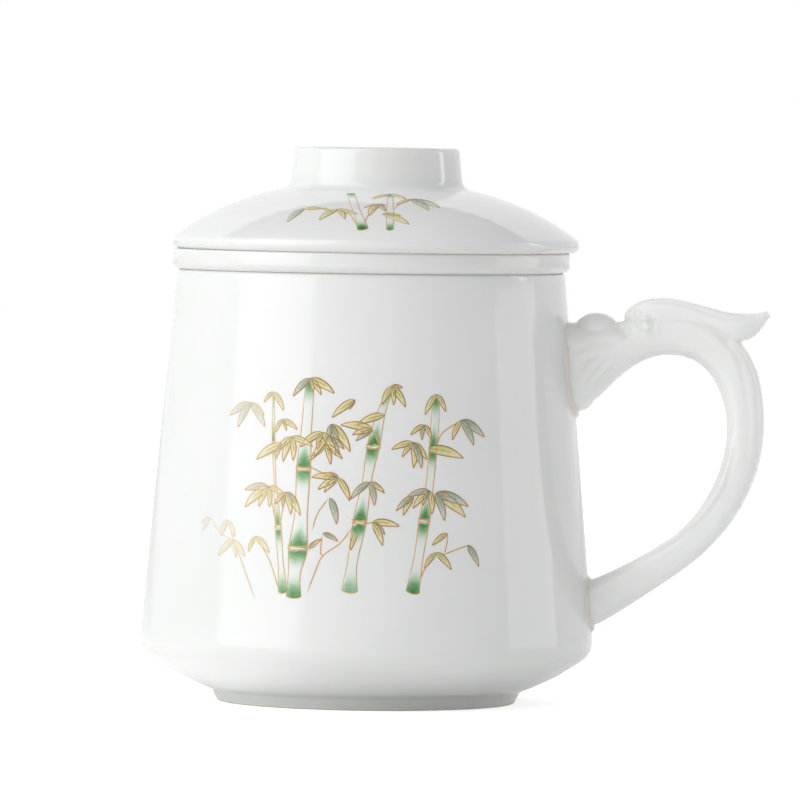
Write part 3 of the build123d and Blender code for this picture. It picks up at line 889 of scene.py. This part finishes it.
# A spray has the place where its leaves meet, and each leaf's heading in degrees, length, tone
MUG_SPRAYS = (
    ((-9.2, 74.0), ((-134, 5.6, CELADON), (-54, 4.4, OLIVE), (-30, 6.4, OLIVE), (-76, 3.0, OLIVE))),
    ((-18.0, 70.8), ((-134, 3.2, OLIVE), (-56, 4.8, OLIVE))),
    ((-23.8, 68.2), ((-154, 6.4, CELADON), (-122, 6.4, CELADON), (-53, 6.4, CELADON),
                     (-36, 4.4, CELADON))),
    ((-15.6, 64.8), ((-118, 3.2, OLIVE), (-30, 4.2, OLIVE), (-66, 2.6, CELADON))),
    ((-13.2, 61.0), ((-136, 5.4, OLIVE), (-110, 5.8, OLIVE), (-86, 5.2, OLIVE), (-22, 5.2, OLIVE))),
    ((-15.6, 59.4), ((-150, 7.2, OLIVE), (-112, 3.4, CELADON))),
    ((1.0, 69.4), ((-142, 6.4, OLIVE), (-120, 2.4, CELADON))),
    ((7.6, 66.2), ((-160, 6.4, OLIVE),)),
    ((5.0, 62.9), ((172, 7.2, OLIVE), (-146, 4.4, CELADON), (-166, 4.6, OLIVE))),
    ((-4.2, 64.0), ((-54, 7.4, OLIVE), (-72, 4.8, CELADON), (-96, 4.2, CELADON))),
    ((-5.4, 59.4), ((-134, 4.8, OLIVE), (-74, 4.4, OLIVE), (-38, 4.8, OLIVE))),
    ((-4.8, 61.2), ((-57, 4.6, CELADON), (-36, 4.4, CELADON), (-126, 5.4, OLIVE))),
    ((-2.4, 52.2), ((179, 6.0, OLIVE), (-150, 5.2, OLIVE), (-134, 4.4, OLIVE), (-62, 5.6, OLIVE),
                    (150, 2.4, CELADON))),
    ((-4.2, 47.8), ((-74, 6.0, CELADON),)),
    ((4.6, 51.4), ((-138, 5.6, CELADON), (-78, 5.2, CELADON), (-36, 4.0, OLIVE))),
    ((-18.6, 49.9), ((-172, 6.2, CELADON), (-142, 7.6, OLIVE), (-118, 5.0, OLIVE),
                     (-24, 4.4, OLIVE), (-86, 4.4, OLIVE))),
    ((-14.4, 48.8), ((-54, 6.2, OLIVE), (-38, 3.8, CELADON), (-100, 3.4, CELADON),
                     (-74, 5.0, OLIVE), (-132, 3.6, OLIVE))),
    ((5.4, 42.6), ((-44, 3.8, CELADON), (-8, 6.0, OLIVE), (-66, 5.6, OLIVE))),
    ((2.0, 40.2), ((-108, 4.0, OLIVE),)),
    ((-5.6, 40.0), ((-26, 3.8, CELADON),)),
    ((-8.6, 36.6), ((38, 3.4, OLIVE),)),
    ((-21.6, 38.8), ((-118, 3.8, OLIVE), (-44, 5.0, OLIVE))),
    ((-27.6, 37.8), ((-140, 5.4, OLIVE), (-78, 3.8, OLIVE), (-46, 4.8, OLIVE))),
    ((-29.4, 42.2), ((-116, 4.0, OLIVE), (-58, 4.2, OLIVE))),
    ((-34.8, 42.4), ((-128, 3.8, CELADON), (-158, 3.0, CELADON))),
    ((9.0, 72.6), ((-116, 4.6, OLIVE), (-56, 5.6, OLIVE), (-84, 4.2, OLIVE), (-8, 2.4, OLIVE))),
    ((-6.2, 62.2), ((-146, 6.0, OLIVE), (-104, 4.0, OLIVE), (-58, 6.0, OLIVE))),
    ((19.2, 70.8), ((-120, 5.2, OLIVE), (-60, 4.4, OLIVE))),
    ((16.5, 64.1), ((-144, 3.8, OLIVE), (-98, 3.4, CELADON), (-62, 3.6, OLIVE))),
    ((14.0, 60.2), ((-162, 5.0, OLIVE), (-126, 4.0, OLIVE), (-88, 5.6, OLIVE), (-50, 5.0, OLIVE),
                    (-70, 6.0, CELADON))),
    ((17.6, 58.8), ((-14, 8.6, OLIVE),)),
    ((25.2, 65.1), ((-116, 4.8, OLIVE), (-60, 6.4, CELADON), (-32, 7.0, CELADON))),
    ((18.0, 49.6), ((-166, 5.2, CELADON), (-134, 5.4, OLIVE), (-116, 3.6, CELADON),
                    (-84, 5.2, OLIVE))),
    ((14.4, 48.4), ((-118, 4.8, OLIVE), (-140, 5.0, CELADON))),
    ((19.4, 49.0), ((-36, 9.0, OLIVE), (-20, 8.4, CELADON), (-70, 6.4, CELADON), (-10, 3.4, CELADON))),
    ((22.4, 40.2), ((-144, 4.4, OLIVE),)),
    ((27.2, 37.6), ((-58, 5.6, CELADON),)),
    ((19.8, 36.0), ((-127, 4.4, OLIVE), (-46, 5.2, OLIVE))),
)

# A twig has the places that its line goes through
MUG_TWIGS = (
    ((19.4, 59.4), (20.8, 62.4), (25.0, 65.0)),
    ((1.4, 42.0), (-1.6, 38.0), (-5.6, 34.9), (-7.4, 30.8), (-8.8, 27.0)),
    ((-5.6, 34.9), (-6.0, 36.2), (-5.7, 39.6)),
    ((-21.4, 38.7), (-18.2, 34.2), (-16.6, 30.4), (-15.4, 27.2)),
    ((-29.2, 42.0), (-27.4, 37.8), (-24.6, 32.2), (-21.4, 25.2)),
    ((-34.6, 42.4), (-31.6, 39.4), (-27.6, 37.8)),
    ((-4.6, 47.6), (-6.8, 44.4), (-8.0, 40.8)),
    ((-8.7, 56.0), (-7.4, 58.2), (-5.4, 59.3)),
    ((-9.0, 54.6), (-4.8, 52.8), (-2.4, 52.2)),
    ((6.4, 59.8), (5.8, 61.4), (4.9, 62.9)),
    ((3.2, 42.8), (4.2, 42.4), (5.4, 42.6)),
    ((22.4, 40.1), (22.2, 37.6), (21.6, 35.6)),
    ((21.6, 35.6), (24.4, 36.6), (27.2, 37.5)),
    ((19.8, 36.0), (17.8, 33.6), (16.2, 30.0)),
    ((18.2, 44.2), (18.8, 46.2), (20.4, 48.6)),
    ((-16.4, 41.6), (-17.4, 45.4), (-18.6, 49.8)),
    ((-15.6, 41.8), (-15.0, 45.0), (-14.4, 48.6)),
)

LID_STEMS = (
    (((0.8, 0.0, 1.25), (0.0, 3.4, 0.95), (-1.8, 10.0, 0.80), (-3.6, 19.0, 0.95)), (), 1.0),
    (((6.8, 0.0, 0.80), (6.3, 6.6, 0.75), (5.8, 12.5, 0.62), (5.3, 18.6, 0.70)), (), 0.7),
)
LID_SPRAYS = (
    ((-9.4, 9.0), ((-168, 5.0, OLIVE), (-34, 3.4, OLIVE))),
    ((-13.6, 8.6), ((-118, 7.2, CELADON),)),
    ((-5.6, 8.6), ((-126, 6.4, OLIVE), (-66, 5.0, OLIVE), (-28, 5.2, OLIVE))),
    ((3.2, 11.6), ((-146, 3.6, OLIVE), (-104, 6.2, OLIVE), (-64, 4.2, CELADON), (-20, 2.0, CELADON))),
    ((5.3, 18.6), ((-136, 5.0, OLIVE), (-44, 5.2, OLIVE))),
    ((10.2, 15.0), ((-34, 8.8, CELADON), (-54, 8.0, CELADON), (-128, 4.6, OLIVE))),
    ((4.6, 6.6), ((-8, 4.2, OLIVE), (-36, 7.8, OLIVE))),
)
LID_TWIGS = (
    ((-13.6, 8.6), (-11.4, 9.8), (-9.4, 9.0)),
    ((-0.8, 1.6), (-2.6, 6.0), (-5.6, 8.6)),
    ((0.9, 1.4), (1.6, 6.6), (3.2, 11.6)),
    ((6.8, 8.6), (8.2, 12.6), (10.2, 15.0)),
)


def overglaze_enamel(name, tones, roughness):
    """Fired enamel over the glaze. Its colour goes from its first tone to its last with the
    attribute "tone". It is transparent, so light that crosses a share of its thickness keeps
    the colour to that power, and the attribute "wash" is that share."""
    material, tree = new_material(name)
    place = add(tree, "TexCoord").outputs["Object"]
    tone = add(tree, "Attribute", attribute_name="tone")
    colours = add(tree, "ValToRGB", {"Fac": tone.outputs["Fac"]})
    colours.color_ramp.elements.new(0.5)
    for element, colour in zip(colours.color_ramp.elements, tones):
        element.color = linear(colour)
    brush = add(tree, "TexNoise", {"Vector": place, "Scale": 1 / BRUSH_PATCH})
    uneven = add(tree, "MapRange", {"Value": brush, "From Min": 0.3, "From Max": 0.7,
                                    "To Min": BRUSH_THINNEST, "To Max": 1.0})
    wash = add(tree, "Attribute", attribute_name="wash")
    cover = add(tree, "Math", {0: wash.outputs["Fac"], 1: uneven}, operation="MULTIPLY",
                use_clamp=True)
    layer = add(tree, "Gamma", {"Color": colours, "Gamma": cover})
    colour = add(tree, "Mix", {0: 1.0, 6: linear(GLAZE_WHITE), 7: layer}, data_type="RGBA",
                 blend_type="MULTIPLY")
    shader = add(tree, "BsdfPrincipled",
                 {"Base Color": colour.outputs[2], "Roughness": roughness, "IOR": GLASS_IOR})
    add(tree, "OutputMaterial", {"Surface": shader})
    return material


def on_wall(flat, lift):
    """Painted places on the mug: across is an arc's length round the cone."""
    radius = wall_radius(flat[..., 1])
    angle = flat[..., 0] / radius - np.pi / 2
    return round_axis(radius + lift, angle, flat[..., 1])


def on_dome(flat, lift):
    """Painted places on the lid: up is an arc's length along the dome's section."""
    feet = np.arcsin((PAINTING_FEET_RADIUS - DOME_CENTRE[0]) / DOME_RADIUS)
    slope = feet - flat[..., 1] / DOME_RADIUS
    reach = DOME_RADIUS + lift
    radius = DOME_CENTRE[0] + reach * np.sin(slope)
    angle = flat[..., 0] / (radius - lift) - np.pi / 2
    height = DOME_CENTRE[1] + reach * np.cos(slope)
    return round_axis(radius, angle, height) + LID_OFFSET


def across_line(line, half_width, sides):
    """Places beside a line (..., point, 2), at each of the sides times its half width."""
    along = np.gradient(line, axis=-2)
    along = along / np.linalg.norm(along, axis=-1, keepdims=True)
    left = np.stack([-along[..., 1], along[..., 0]], -1)
    reach = np.asarray(half_width)[..., None] * sides
    return line[..., None, :] + reach[..., None] * left[..., None, :]


def brushed(line, half_width, lift, surface, ink, umber):
    """Brush lines (..., point, 2) as low ridges with pointed ends: their shapes, and at each
    point how strong the ink is and how dark. A line is ochre at its edges, umber in its middle."""
    share = np.linspace(0, 1, line.shape[-2])
    taper = half_width * np.clip(8 * np.minimum(share, 1 - share), 0.3, 1)
    middle = 1 - np.abs(BRUSH_SIDES)
    flat = across_line(line, taper, BRUSH_SIDES)
    raised = np.asarray(lift)[..., None, None] + LINE_CROWN * middle
    shape = surface(flat, np.broadcast_to(raised, flat.shape[:-1]))
    strong = np.broadcast_to(ink[..., None] * (0.35 + 0.65 * middle), flat.shape[:-1])
    dark = np.broadcast_to(umber[..., None] * np.minimum(2 * middle, 1), flat.shape[:-1])
    return shape, strong, dark


def paled_by_painted_light(across):
    """How strong the paint is at a place across: paler to the left, as painted light."""
    return np.clip((across - PAINTED_LIGHT_PALE_END) / PAINTED_LIGHT_PALE_RISE, PALEST, 1.0)


def leaf_shapes(sprays, surface, weight):
    """The washes of all leaves, greener at their roots, and their outlines and ribs as lines.

    A leaf's rib is an arc: its heading turns downwards by its droop from root to tip. Its half
    width at the share t is its length times c t^0.6 (1 - t)^0.95.
    """
    rows = [(*at, *leaf, number, order) for number, (at, leaves) in enumerate(sprays)
            for order, leaf in enumerate(leaves)]
    across, up, heading, length, tone, number, order = np.array(rows, float).T
    t = np.linspace(0, 1, LEAF_POINTS)
    droop = np.radians(LEAF_DROOP) * np.sign(np.cos(np.radians(heading)))
    angle = np.radians(heading)[:, None] + droop[:, None] * (0.5 - t)
    headings = (angle[:, 1:] + angle[:, :-1]) / 2
    step = t[1] * length[:, None]
    moves = np.stack([step * np.cos(headings), step * np.sin(headings)], -1)
    root = np.stack([across, up], -1)[:, None]
    rib = np.concatenate([root, root + np.cumsum(moves, 1)], 1)
    bulge = t**0.6 * (1 - t) ** 0.95
    half = np.maximum(LEAF_SLENDERNESS * bulge / bulge.max() * length[:, None], 0.02)
    lift = WASH_LIFT + SPRAY_LIFT * (number % 3) + LEAF_LIFT * (order + 1)
    flat = across_line(rib, half, np.linspace(1, -1, 5))
    wash = surface(flat, np.broadcast_to(lift[:, None, None], flat.shape[:-1]))
    # painted light: leaves and their lines paler towards the left
    pale = paled_by_painted_light(across)
    strength = LEAF_WASH * weight * pale[:, None] * (1 - 0.7 * t**1.4)
    strength = strength[..., None] * np.linspace(1.0, 0.55, 5)
    tones = np.broadcast_to((tone[:, None] + ROOT_SHADE * (1 - t) ** 3)[..., None], flat.shape[:-1])
    rim = np.concatenate([flat[:, :, 0], flat[:, ::-1, -1]], 1)
    dark = np.concatenate([1 - 0.5 * t, 0.75 - 0.5 * t[::-1]]) * pale[:, None] ** 2
    ink = np.broadcast_to(pale[:, None], rim.shape[:-1])
    outlines = brushed(rim, weight * LINE_HALF_WIDTH, lift + LINE_LIFT, surface, ink, dark)
    rib = rib[:, :RIB_POINTS]
    ink = RIB_INK * ink[:, :RIB_POINTS]
    ribs = brushed(rib, weight * RIB_HALF_WIDTH, lift + LINE_LIFT, surface, ink, ink)
    return (wash, strength, tones), outlines, ribs


def faded(distance, strength, length):
    """A shade that falls off with the distance d as strength exp(-(d / length)^2)."""
    return strength * np.exp(-(distance / length) ** 2)


def stem_shapes(stem, joints, foot_green, surface, weight):
    """The wash of one stem, its edges and foot as strokes, and the strokes of its joints.

    It is shaded green above its bowed foot and at its top, and about its joints, where the
    shade draws in to a point above the joint. Two bowed strokes mark each joint.
    """
    middle = smooth_curve(stem, 90)
    foot, top = stem[0][1], stem[-1][1]
    side = np.linspace(1, -1, 9)
    flat = across_line(middle[:, :2], middle[:, 2], side)
    up = flat[..., 1]
    up -= FOOT_BOW * (1 - side**2) * np.exp(foot - up)
    wash = surface(flat, np.full(flat.shape[:-1], WASH_LIFT))
    shade = foot_green * faded((up - foot) / weight, *FOOT_SHADE)
    shade = shade + faded((up - top) / weight, *TOP_SHADE)
    edges, marks = [flat[:, 0], flat[:, -1], flat[0]], []
    for joint in joints:
        above = (up - joint - JOINT_GAP) / weight
        below = (joint - JOINT_GAP - up) / weight
        point = faded(above, *POINT_SHADE) * faded(side * (0.3 + above / POINT_NARROWING), 1.0, 1.0)
        shade = shade + (above > 0) * point + (below > 0) * faded(below, *CUP_SHADE)
        row = np.abs(middle[:, 1] - joint).argmin()
        bow = np.linspace(-JOINT_REACH, JOINT_REACH, 11)[:, None]
        for rise in (-JOINT_GAP, JOINT_GAP):
            level = np.array([0.0, 1.0]) * (rise + JOINT_BOW * bow**2)
            marks.append(middle[row, :2] + middle[row, 2] * bow * np.array([1.0, 0.0]) + level)
    # painted light: stems paler towards the left
    pale = paled_by_painted_light(flat[..., 0])
    strength = np.clip(0.02 + shade, 0, 1) * pale * (1 - 0.45 * side**2)
    return (wash, strength, np.full(strength.shape, GREEN)), edges, marks


def painting(name, stems, sprays, twigs, surface, body, weight=1.0):
    """The painting on one surface, as two pieces: its washes, and its lines. A lighter weight
    has thinner lines, shorter shades and paler leaves."""
    leaves, outlines, ribs = leaf_shapes(sprays, surface, weight)
    washes, lines = [leaves], [outlines, ribs]
    strokes = [(smooth_curve(twig, 24), LINE_HALF_WIDTH) for twig in twigs]
    for stem in stems:
        wash, edges, marks = stem_shapes(*stem, surface, weight)
        washes.append(wash)
        strokes += [(edge, EDGE_HALF_WIDTH) for edge in edges]
        strokes += [(mark, LINE_HALF_WIDTH) for mark in marks]
    for stroke, half_width in strokes:
        # painted light: strokes fainter towards the left
        ink = paled_by_painted_light(stroke[:, 0])
        lines.append(brushed(stroke, weight * half_width, WASH_LIFT + LINE_LIFT, surface, ink,
                             STROKE_UMBER * ink**2))
    pieces = []
    for kind, parts, enamel in (("_washes", washes, wash_enamel), ("_lines", lines, line_enamel)):
        grids, strengths, tones = zip(*parts)
        pieces.append(make_piece(name + kind, grids, enamel, body, wrapped=False,
                                 sheet=ENAMEL_THICKNESS, wash=strengths, tone=tones))
    return pieces


wash_enamel = overglaze_enamel(
    "fired_green_and_olive_enamel", ("#D8C654", "#76947F", "#3B7A38"), 0.10)
line_enamel = overglaze_enamel(
    "fired_ochre_and_umber_enamel", ("#FA9A30", "#8E602C", "#2C2A12"), 0.18)
mug_bamboo = painting("mug_bamboo", MUG_STEMS, MUG_SPRAYS, MUG_TWIGS, on_wall, "mug")
lid_bamboo = painting("lid_bamboo", LID_STEMS, LID_SPRAYS, LID_TWIGS, on_dome, "lid", weight=0.75)


# ---------------------------------------------------------------------------------------------
# Table, lamps and camera: a pale table in a white room, a tall soft lamp at the left, a weak one
# at the right and a low one under the left shoulder, two white cards that only the glazes show,
# and a long lens a little above the table.
# ---------------------------------------------------------------------------------------------

# How bright the room and the table are, where white is 1. A gloss shows the white backdrop up
# to its top, and the darker ceiling above it. The table goes this many metres each way.
ROOM_LIGHT = 0.51
CEILING_LIGHT = 0.15
BACKDROP_TOP = np.sin(np.radians(40.0))
TABLE_REACH = 4.0
TABLE_CORNERS = np.array([(-1, -1, 0), (1, -1, 0), (1, 1, 0), (-1, 1, 0)])
TABLE_GLOW = 0.58
TABLE_GLOSS_SHARE = 0.5


def background_rays(tree, gloss_share=1.0):
    """How much background a ray sees: all of it from the camera or through glass, and a share
    of it off a gloss. Rays that light a surface see none of it."""
    path = add(tree, "LightPath").outputs
    straight = add(tree, "Math",
                   {0: path["Is Camera Ray"], 1: path["Is Transmission Ray"]}, operation="ADD")
    return add(tree, "Math", {0: path["Is Glossy Ray"], 1: gloss_share, 2: straight},
               operation="MULTIPLY_ADD", use_clamp=True)


world = bpy.data.worlds.new("white_room")
bpy.context.scene.world = world
world.use_nodes = True
room = world.node_tree
room.nodes.clear()
direction = add(room, "TexCoord").outputs["Generated"]
height = add(room, "SeparateXYZ", {"Vector": direction}).outputs["Z"]
backdrop = add(room, "MapRange",
               {"Value": height, "From Min": BACKDROP_TOP - 0.01, "From Max": BACKDROP_TOP + 0.01,
                "To Min": 1.0, "To Max": CEILING_LIGHT})
glossy = add(room, "LightPath").outputs["Is Glossy Ray"]
seen = add(room, "Mix", {0: glossy, 2: 1.0, 3: backdrop}, data_type="FLOAT")
strength = add(room, "Mix", {0: background_rays(room), 2: ROOM_LIGHT, 3: seen},
               data_type="FLOAT")
light = add(room, "Background", {"Color": linear("#FFFFFF"), "Strength": strength})
add(room, "OutputWorld", {"Surface": light})

table_paint, table_tree = new_material("white_matt_table")
chalk = add(table_tree, "BsdfDiffuse", {"Color": linear("#FBFBFB")})
glow_share = add(table_tree, "Math",
                 {0: background_rays(table_tree, TABLE_GLOSS_SHARE), 1: TABLE_GLOW},
                 operation="MULTIPLY")
glow = add(table_tree, "Emission", {"Color": linear("#FFFFFF"), "Strength": glow_share})
both = add(table_tree, "AddShader", {0: chalk, 1: glow})
add(table_tree, "OutputMaterial", {"Surface": both})


def flat_panel(name, corners, paint):
    """A flat panel between four corners in metres."""
    mesh = bpy.data.meshes.new(name)
    mesh.from_pydata(corners, [], [(0, 1, 2, 3)])
    mesh.materials.append(paint)
    return new_object(name, mesh)


table = flat_panel("table", TABLE_REACH * TABLE_CORNERS, table_paint)

# Lamps and cards, in degrees and metres. A lamp has its full brightness up to this share of its
# side from its middle, and fades to nothing at its edge.
LAMP_MIDDLE = 0.34
TALL_LAMP_AZIMUTH = -52
MUG_MIDDLE = 0.06
PANEL_RADIUS = 0.054
PANEL_HEIGHT = 0.0004
CARD_DISTANCE = 0.6


def around(azimuth, elevation):
    """The direction from the mug that lies this many degrees to the right of -Y, and this many
    above the table."""
    a, e = np.radians(azimuth), np.radians(elevation)
    return np.array([np.sin(a) * np.cos(e), -np.cos(a) * np.cos(e), np.sin(e)])


def soft_lamp(name, place, turn, size, strength, glossy=True):
    """A rectangular lamp that fades out towards its edges, as a softbox does. Its strength is
    how bright its middle looks, where white is 1. A glossy lamp shows in the glaze."""
    lamp = bpy.data.lights.new(name, "AREA")
    lamp.shape = "RECTANGLE"
    lamp.size, lamp.size_y = size
    lamp.energy = strength * np.pi * size[0] * size[1]
    lamp.use_nodes = True
    tree = lamp.node_tree
    tree.nodes.clear()
    across = add(tree, "NewGeometry").outputs["Parametric"]
    sides = add(tree, "SeparateXYZ", {"Vector": across}).outputs
    fade = 1.0
    for side in (sides["X"], sides["Y"]):
        off = add(tree, "Math", {0: side, 1: 0.5}, operation="SUBTRACT")
        away = add(tree, "Math", {0: off}, operation="ABSOLUTE")
        share = add(tree, "MapRange", {"Value": away, "From Min": 0.5, "From Max": LAMP_MIDDLE},
                    interpolation_type="SMOOTHSTEP")
        fade = add(tree, "Math", {0: share, 1: fade}, operation="MULTIPLY")
    shine = add(tree, "Emission", {"Strength": fade})
    add(tree, "OutputLight", {"Surface": shine})
    holder = new_object(name, lamp)
    holder.location = place
    holder.rotation_euler = turn
    holder.visible_camera = False
    holder.visible_glossy = glossy


def facing_mug(azimuth, elevation, distance):
    """The place and turn of a lamp that stands this far off and faces the mug's middle."""
    away = Vector(around(azimuth, elevation))
    place = away * distance + Vector((0, 0, MUG_MIDDLE))
    return place, away.to_track_quat("Z", "Y").to_euler()


place, turn = facing_mug(TALL_LAMP_AZIMUTH, elevation=33, distance=1.0)
soft_lamp("tall_lamp_left", place, turn, size=(1.15, 1.8), strength=1.78)
place, turn = facing_mug(azimuth=112, elevation=10, distance=0.8)
soft_lamp("fill_lamp_right", place, turn, size=(0.45, 0.9), strength=1.1, glossy=False)
place = around(TALL_LAMP_AZIMUTH, 0) * PANEL_RADIUS + np.array([0, 0, PANEL_HEIGHT])
turn = (np.pi, 0, np.radians(TALL_LAMP_AZIMUTH))
soft_lamp("low_panel_left", place, turn, size=(0.080, 0.034), strength=0.22, glossy=False)


def reflector_card(name, azimuth, width, heights, brightness):
    """An upright card beside the mug, from a low to a high edge. Only glazes show it."""
    paint, tree = new_material(name)
    shine = add(tree, "Emission", {"Strength": brightness})
    add(tree, "OutputMaterial", {"Surface": shine})
    middle = around(azimuth, 0.0) * CARD_DISTANCE
    half = width / 2 * around(azimuth + 90, 0.0)
    low, high = (np.array([0, 0, height]) for height in heights)
    left, right = middle - half, middle + half
    card = flat_panel(name, [left + low, right + low, right + high, left + high], paint)
    card.visible_camera = False
    card.visible_diffuse = False
    card.visible_shadow = False


reflector_card("wide_white_card", 97.4, width=0.376, heights=(0.0, 0.16), brightness=1.9)
reflector_card("slim_white_card", 105.5, width=0.08, heights=(0.17, 0.42), brightness=4.0)

# The camera, in degrees, metres and, for its lens, millimetres. It aims at a place above the
# table and to the right of the mug's axis.
CAMERA_AZIMUTH = 5.0
CAMERA_ELEVATION = 1.8
CAMERA_ROLL = 0.75
CAMERA_DISTANCE = 2.0
CAMERA_LENS = 399.0
AIM_HEIGHT = 0.0681
AIM_RIGHT = 0.00685

camera = new_object("camera", bpy.data.cameras.new("camera"))
bpy.context.scene.camera = camera
camera.data.lens = CAMERA_LENS
back = Vector(around(CAMERA_AZIMUTH, CAMERA_ELEVATION))
level = Vector(around(CAMERA_AZIMUTH + 90, 0))
upright = back.cross(level)
roll = np.radians(CAMERA_ROLL)
right = level * np.cos(roll) + upright * np.sin(roll)
up = back.cross(right)
aim = Vector((0, 0, AIM_HEIGHT)) + level * AIM_RIGHT
stand = aim + back * CAMERA_DISTANCE
camera.matrix_world = Matrix((
    (right.x, up.x, back.x, stand.x),
    (right.y, up.y, back.y, stand.y),
    (right.z, up.z, back.z, stand.z),
    (0, 0, 0, 1),
))
bpy.context.scene.view_settings.view_transform = "Standard"
